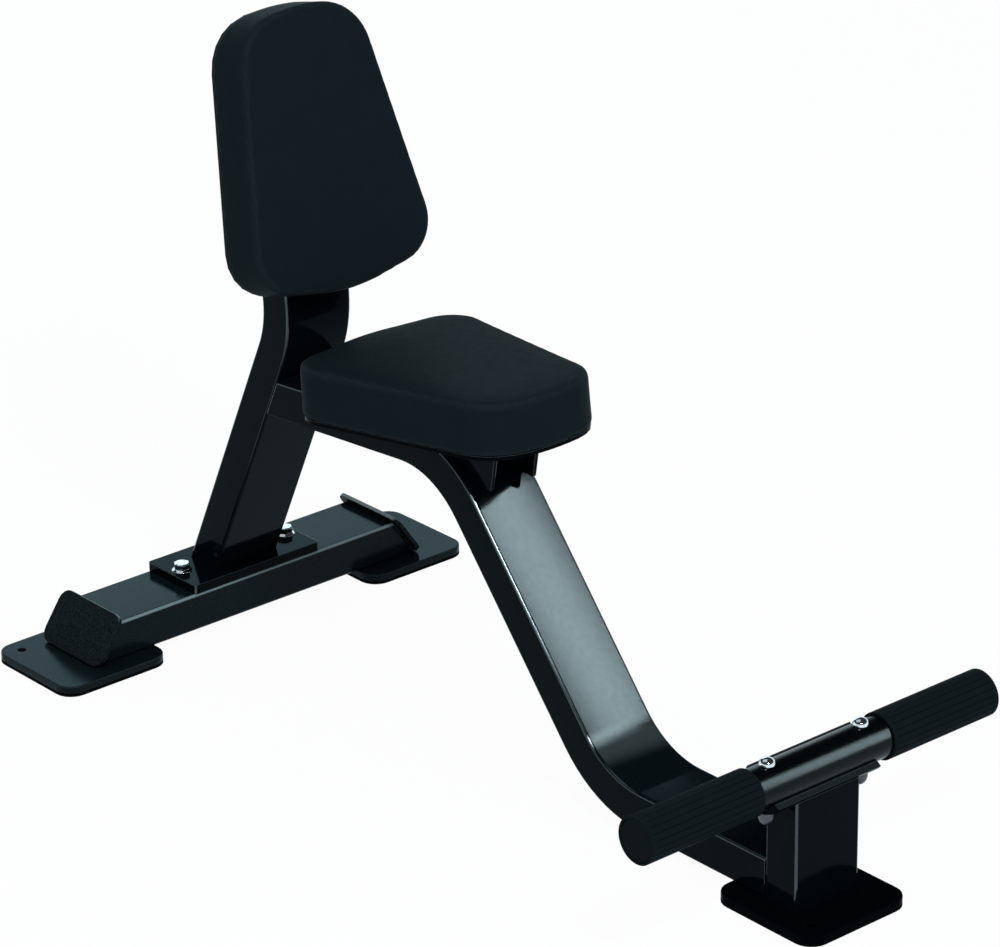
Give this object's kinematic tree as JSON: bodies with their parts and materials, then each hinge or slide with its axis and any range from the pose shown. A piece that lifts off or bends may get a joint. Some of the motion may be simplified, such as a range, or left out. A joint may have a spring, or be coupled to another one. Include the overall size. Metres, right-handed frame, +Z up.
{
  "type": "utility bench",
  "caption": "Upright exercise bench: bent box-tube frame, tapered seat and back pads, and a footrest bar with fluted grips.",
  "frame": {"origin": "on the floor, under the middle of the bench's bounding box", "axes": "+Z up, -Y the way the sitter faces (footrest end), +X to the right when looking along +Y"},
  "size_m": [0.651, 1.225, 0.8525],
  "materials": {
    "frame_paint": "semi-gloss black powder coat",
    "foot_paint": "fine-textured dark grey powder coat",
    "plate_paint": "rough-textured black powder coat",
    "chrome": "bright plated",
    "screw_steel": "blackened steel",
    "grip_rubber": "matt fluted rubber",
    "pad_rubber": "matt rubber",
    "cap_plastic": "moulded black",
    "board_plastic": "gloss black",
    "upholstery": "dark blue-black vinyl with a soft sheen"
  },
  "bodies": {
    "root": {"rear_crossbar": "frame_paint", "upright_base_plate": "frame_paint", "rear_upright": "frame_paint", "spine": "frame_paint", "front_post": "frame_paint", "cradle": "frame_paint", "footrest_bar": "frame_paint", "left_seat_gusset": "frame_paint", "right_seat_gusset": "frame_paint", "front_foot_plate": "foot_paint", "left_foot_plate": "foot_paint", "right_foot_plate": "foot_paint", "left_end_plate": "plate_paint", "right_end_plate": "plate_paint", "seat_mount_plate": "plate_paint", "back_mount_plate": "plate_paint", "left_base_bolt": "chrome", "right_base_bolt": "chrome", "left_base_nut": "chrome", "right_base_nut": "chrome", "left_footrest_bolt": "chrome", "right_footrest_bolt": "chrome", "left_dome_nut": "chrome", "right_dome_nut": "chrome", "seat_front_left_screw": "screw_steel", "seat_front_right_screw": "screw_steel", "seat_rear_left_screw": "screw_steel", "seat_rear_right_screw": "screw_steel", "back_bottom_left_screw": "screw_steel", "back_bottom_right_screw": "screw_steel", "back_top_left_screw": "screw_steel", "back_top_right_screw": "screw_steel", "left_grip": "grip_rubber", "right_grip": "grip_rubber", "front_foot_pad": "pad_rubber", "left_foot_pad": "pad_rubber", "right_foot_pad": "pad_rubber", "upright_top_cap": "cap_plastic", "left_grip_cap": "cap_plastic", "right_grip_cap": "cap_plastic", "seat_board": "board_plastic", "back_board": "board_plastic", "seat_cushion": "upholstery", "back_cushion": "upholstery"}
  },
  "joints": []
}
